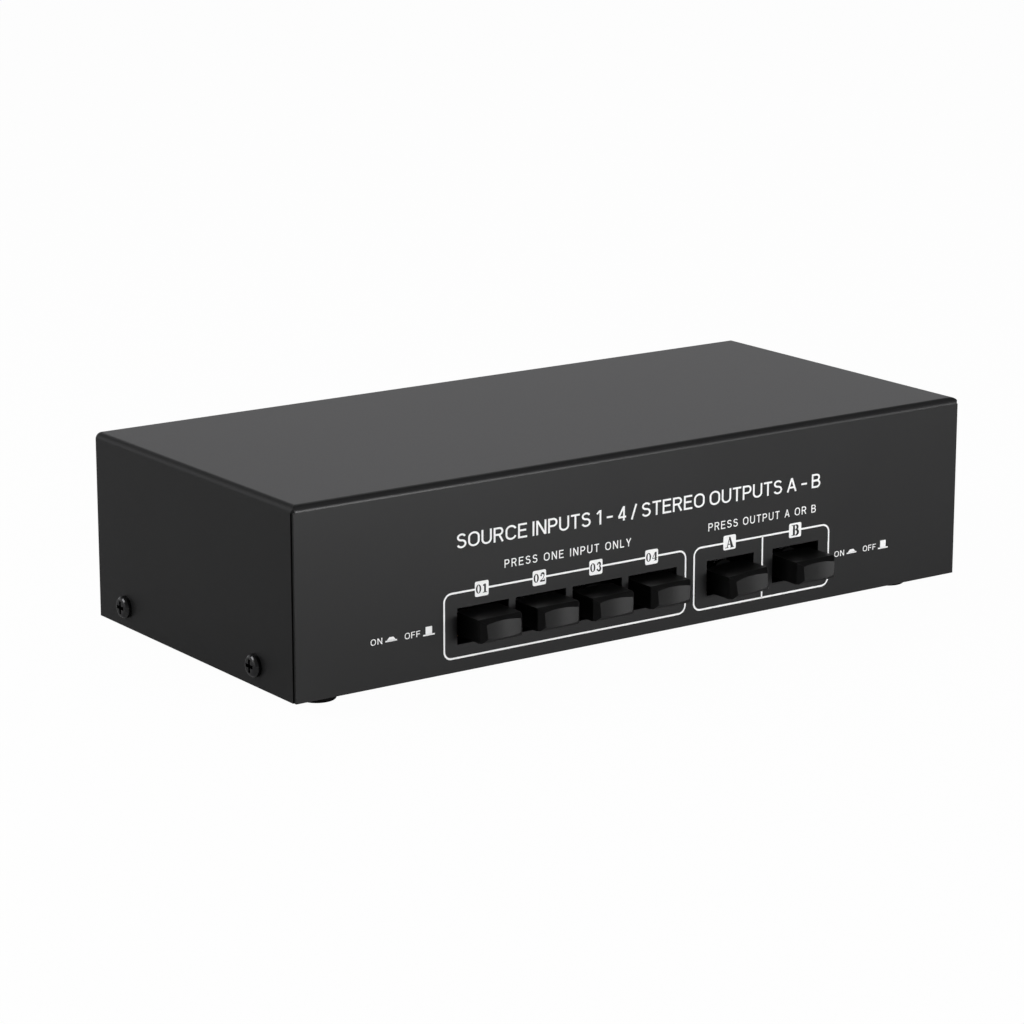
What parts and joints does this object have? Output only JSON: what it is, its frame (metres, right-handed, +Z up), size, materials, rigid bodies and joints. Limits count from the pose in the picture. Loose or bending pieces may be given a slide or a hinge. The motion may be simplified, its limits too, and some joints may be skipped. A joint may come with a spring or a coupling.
{
  "type": "speaker selector switch",
  "caption": "Low black metal box with latching push buttons in framed groups in front and spring clip terminals behind.",
  "frame": {"origin": "middle of the whole part's footprint, level with the bottoms of the feet", "axes": "+X to the right seen from the front, +Y from the front panel to the rear panel, +Z up"},
  "size_m": [0.2236, 0.1204, 0.0545],
  "materials": {
    "case_coating": "satin",
    "screw_black": "satin",
    "foot_rubber": "matte",
    "zinc_steel": "satin",
    "spring_steel": "polished",
    "tinned_brass": "satin",
    "board_laminate": "satin",
    "housing_plastic": "satin",
    "button_plastic": "satin",
    "plunger_nylon": "satin",
    "terminal_plastic": "satin",
    "red_plastic": "glossy",
    "black_plastic": "glossy",
    "red_pvc": "satin",
    "black_pvc": "satin"
  },
  "bodies": {
    "case": {"cover": "case_coating", "base_pan": "case_coating", "case_screws": "screw_black", "rubber_feet": "foot_rubber", "foot_screws": "zinc_steel", "board_standoffs": "zinc_steel", "board_screws": "zinc_steel", "switch_board": "board_laminate", "input_switch_frame": "screw_black", "input_switch_housings": "housing_plastic", "output_switch_housings": "housing_plastic", "interlock_spring": "spring_steel", "terminal_blocks": "terminal_plastic", "terminal_screws": "screw_black", "contact_leaves": "tinned_brass", "red_wires": "red_pvc", "black_wires": "black_pvc", "input_spring_1": "spring_steel", "input_spring_2": "spring_steel", "input_spring_3": "spring_steel", "input_spring_4": "spring_steel", "output_spring_a": "spring_steel", "output_spring_b": "spring_steel"},
    "interlock": {"interlock_slide": "zinc_steel"},
    "button_input_1": {"input_button_1": "button_plastic", "input_plunger_1": "plunger_nylon"},
    "button_input_2": {"input_button_2": "button_plastic", "input_plunger_2": "plunger_nylon"},
    "button_input_3": {"input_button_3": "button_plastic", "input_plunger_3": "plunger_nylon"},
    "button_input_4": {"input_button_4": "button_plastic", "input_plunger_4": "plunger_nylon"},
    "button_output_a": {"output_button_a": "button_plastic", "output_plunger_a": "plunger_nylon"},
    "button_output_b": {"output_button_b": "button_plastic", "output_plunger_b": "plunger_nylon"},
    "clip_input_1_left_red": {"clip_input_1_left_red": "red_plastic"},
    "clip_input_1_left_black": {"clip_input_1_left_black": "black_plastic"},
    "clip_input_2_left_red": {"clip_input_2_left_red": "red_plastic"},
    "clip_input_2_left_black": {"clip_input_2_left_black": "black_plastic"},
    "clip_input_1_right_red": {"clip_input_1_right_red": "red_plastic"},
    "clip_input_1_right_black": {"clip_input_1_right_black": "black_plastic"},
    "clip_input_2_right_red": {"clip_input_2_right_red": "red_plastic"},
    "clip_input_2_right_black": {"clip_input_2_right_black": "black_plastic"},
    "clip_input_3_left_red": {"clip_input_3_left_red": "red_plastic"},
    "clip_input_3_left_black": {"clip_input_3_left_black": "black_plastic"},
    "clip_input_4_left_red": {"clip_input_4_left_red": "red_plastic"},
    "clip_input_4_left_black": {"clip_input_4_left_black": "black_plastic"},
    "clip_input_3_right_red": {"clip_input_3_right_red": "red_plastic"},
    "clip_input_3_right_black": {"clip_input_3_right_black": "black_plastic"},
    "clip_input_4_right_red": {"clip_input_4_right_red": "red_plastic"},
    "clip_input_4_right_black": {"clip_input_4_right_black": "black_plastic"},
    "clip_output_a_left_red": {"clip_output_a_left_red": "red_plastic"},
    "clip_output_a_left_black": {"clip_output_a_left_black": "black_plastic"},
    "clip_output_b_left_red": {"clip_output_b_left_red": "red_plastic"},
    "clip_output_b_left_black": {"clip_output_b_left_black": "black_plastic"},
    "clip_output_a_right_red": {"clip_output_a_right_red": "red_plastic"},
    "clip_output_a_right_black": {"clip_output_a_right_black": "black_plastic"},
    "clip_output_b_right_red": {"clip_output_b_right_red": "red_plastic"},
    "clip_output_b_right_black": {"clip_output_b_right_black": "black_plastic"}
  },
  "joints": [
    {"name": "push_input_1", "type": "slide", "parent": "case", "child": "button_input_1", "axis": [0, 1, 0], "range_m": [0, 0.004], "stiffness_N_per_m": 150, "springref_m": -0.002, "deforming": ["input_spring_1"]},
    {"name": "push_input_2", "type": "slide", "parent": "case", "child": "button_input_2", "axis": [0, 1, 0], "range_m": [0, 0.004], "stiffness_N_per_m": 150, "springref_m": -0.002, "deforming": ["input_spring_2"]},
    {"name": "push_input_3", "type": "slide", "parent": "case", "child": "button_input_3", "axis": [0, 1, 0], "range_m": [0, 0.004], "stiffness_N_per_m": 150, "springref_m": -0.002, "deforming": ["input_spring_3"]},
    {"name": "push_input_4", "type": "slide", "parent": "case", "child": "button_input_4", "axis": [0, 1, 0], "range_m": [0, 0.004], "stiffness_N_per_m": 150, "springref_m": -0.002, "deforming": ["input_spring_4"]},
    {"name": "push_output_a", "type": "slide", "parent": "case", "child": "button_output_a", "axis": [0, 1, 0], "range_m": [0, 0.004], "stiffness_N_per_m": 150, "springref_m": -0.002, "deforming": ["output_spring_a"]},
    {"name": "push_output_b", "type": "slide", "parent": "case", "child": "button_output_b", "axis": [0, 1, 0], "range_m": [0, 0.004], "stiffness_N_per_m": 150, "springref_m": -0.002, "deforming": ["output_spring_b"]},
    {"name": "interlock_shift", "type": "slide", "parent": "case", "child": "interlock", "axis": [1, 0, 0], "range_m": [0, 0.0015], "stiffness_N_per_m": 200, "springref_m": -0.001, "deforming": ["interlock_spring"]},
    {"name": "press_input_1_left_red", "type": "hinge", "parent": "case", "child": "clip_input_1_left_red", "pos_m": [-0.091, 0.04565, 0.04385], "axis": [-1, 0, 0], "range_deg": [0, 20], "stiffness_Nm_per_rad": 0.1, "springref_deg": -5.73},
    {"name": "press_input_1_left_black", "type": "hinge", "parent": "case", "child": "clip_input_1_left_black", "pos_m": [-0.077, 0.04565, 0.04385], "axis": [-1, 0, 0], "range_deg": [0, 20], "stiffness_Nm_per_rad": 0.1, "springref_deg": -5.73},
    {"name": "press_input_2_left_red", "type": "hinge", "parent": "case", "child": "clip_input_2_left_red", "pos_m": [-0.063, 0.04565, 0.04385], "axis": [-1, 0, 0], "range_deg": [0, 20], "stiffness_Nm_per_rad": 0.1, "springref_deg": -5.73},
    {"name": "press_input_2_left_black", "type": "hinge", "parent": "case", "child": "clip_input_2_left_black", "pos_m": [-0.049, 0.04565, 0.04385], "axis": [-1, 0, 0], "range_deg": [0, 20], "stiffness_Nm_per_rad": 0.1, "springref_deg": -5.73},
    {"name": "press_input_1_right_red", "type": "hinge", "parent": "case", "child": "clip_input_1_right_red", "pos_m": [-0.091, 0.04565, 0.02635], "axis": [-1, 0, 0], "range_deg": [0, 20], "stiffness_Nm_per_rad": 0.1, "springref_deg": -5.73},
    {"name": "press_input_1_right_black", "type": "hinge", "parent": "case", "child": "clip_input_1_right_black", "pos_m": [-0.077, 0.04565, 0.02635], "axis": [-1, 0, 0], "range_deg": [0, 20], "stiffness_Nm_per_rad": 0.1, "springref_deg": -5.73},
    {"name": "press_input_2_right_red", "type": "hinge", "parent": "case", "child": "clip_input_2_right_red", "pos_m": [-0.063, 0.04565, 0.02635], "axis": [-1, 0, 0], "range_deg": [0, 20], "stiffness_Nm_per_rad": 0.1, "springref_deg": -5.73},
    {"name": "press_input_2_right_black", "type": "hinge", "parent": "case", "child": "clip_input_2_right_black", "pos_m": [-0.049, 0.04565, 0.02635], "axis": [-1, 0, 0], "range_deg": [0, 20], "stiffness_Nm_per_rad": 0.1, "springref_deg": -5.73},
    {"name": "press_input_3_left_red", "type": "hinge", "parent": "case", "child": "clip_input_3_left_red", "pos_m": [-0.021, 0.04565, 0.04385], "axis": [-1, 0, 0], "range_deg": [0, 20], "stiffness_Nm_per_rad": 0.1, "springref_deg": -5.73},
    {"name": "press_input_3_left_black", "type": "hinge", "parent": "case", "child": "clip_input_3_left_black", "pos_m": [-0.007, 0.04565, 0.04385], "axis": [-1, 0, 0], "range_deg": [0, 20], "stiffness_Nm_per_rad": 0.1, "springref_deg": -5.73},
    {"name": "press_input_4_left_red", "type": "hinge", "parent": "case", "child": "clip_input_4_left_red", "pos_m": [0.007, 0.04565, 0.04385], "axis": [-1, 0, 0], "range_deg": [0, 20], "stiffness_Nm_per_rad": 0.1, "springref_deg": -5.73},
    {"name": "press_input_4_left_black", "type": "hinge", "parent": "case", "child": "clip_input_4_left_black", "pos_m": [0.021, 0.04565, 0.04385], "axis": [-1, 0, 0], "range_deg": [0, 20], "stiffness_Nm_per_rad": 0.1, "springref_deg": -5.73},
    {"name": "press_input_3_right_red", "type": "hinge", "parent": "case", "child": "clip_input_3_right_red", "pos_m": [-0.021, 0.04565, 0.02635], "axis": [-1, 0, 0], "range_deg": [0, 20], "stiffness_Nm_per_rad": 0.1, "springref_deg": -5.73},
    {"name": "press_input_3_right_black", "type": "hinge", "parent": "case", "child": "clip_input_3_right_black", "pos_m": [-0.007, 0.04565, 0.02635], "axis": [-1, 0, 0], "range_deg": [0, 20], "stiffness_Nm_per_rad": 0.1, "springref_deg": -5.73},
    {"name": "press_input_4_right_red", "type": "hinge", "parent": "case", "child": "clip_input_4_right_red", "pos_m": [0.007, 0.04565, 0.02635], "axis": [-1, 0, 0], "range_deg": [0, 20], "stiffness_Nm_per_rad": 0.1, "springref_deg": -5.73},
    {"name": "press_input_4_right_black", "type": "hinge", "parent": "case", "child": "clip_input_4_right_black", "pos_m": [0.021, 0.04565, 0.02635], "axis": [-1, 0, 0], "range_deg": [0, 20], "stiffness_Nm_per_rad": 0.1, "springref_deg": -5.73},
    {"name": "press_output_a_left_red", "type": "hinge", "parent": "case", "child": "clip_output_a_left_red", "pos_m": [0.049, 0.04565, 0.04385], "axis": [-1, 0, 0], "range_deg": [0, 20], "stiffness_Nm_per_rad": 0.1, "springref_deg": -5.73},
    {"name": "press_output_a_left_black", "type": "hinge", "parent": "case", "child": "clip_output_a_left_black", "pos_m": [0.063, 0.04565, 0.04385], "axis": [-1, 0, 0], "range_deg": [0, 20], "stiffness_Nm_per_rad": 0.1, "springref_deg": -5.73},
    {"name": "press_output_b_left_red", "type": "hinge", "parent": "case", "child": "clip_output_b_left_red", "pos_m": [0.077, 0.04565, 0.04385], "axis": [-1, 0, 0], "range_deg": [0, 20], "stiffness_Nm_per_rad": 0.1, "springref_deg": -5.73},
    {"name": "press_output_b_left_black", "type": "hinge", "parent": "case", "child": "clip_output_b_left_black", "pos_m": [0.091, 0.04565, 0.04385], "axis": [-1, 0, 0], "range_deg": [0, 20], "stiffness_Nm_per_rad": 0.1, "springref_deg": -5.73},
    {"name": "press_output_a_right_red", "type": "hinge", "parent": "case", "child": "clip_output_a_right_red", "pos_m": [0.049, 0.04565, 0.02635], "axis": [-1, 0, 0], "range_deg": [0, 20], "stiffness_Nm_per_rad": 0.1, "springref_deg": -5.73},
    {"name": "press_output_a_right_black", "type": "hinge", "parent": "case", "child": "clip_output_a_right_black", "pos_m": [0.063, 0.04565, 0.02635], "axis": [-1, 0, 0], "range_deg": [0, 20], "stiffness_Nm_per_rad": 0.1, "springref_deg": -5.73},
    {"name": "press_output_b_right_red", "type": "hinge", "parent": "case", "child": "clip_output_b_right_red", "pos_m": [0.077, 0.04565, 0.02635], "axis": [-1, 0, 0], "range_deg": [0, 20], "stiffness_Nm_per_rad": 0.1, "springref_deg": -5.73},
    {"name": "press_output_b_right_black", "type": "hinge", "parent": "case", "child": "clip_output_b_right_black", "pos_m": [0.091, 0.04565, 0.02635], "axis": [-1, 0, 0], "range_deg": [0, 20], "stiffness_Nm_per_rad": 0.1, "springref_deg": -5.73}
  ]
}
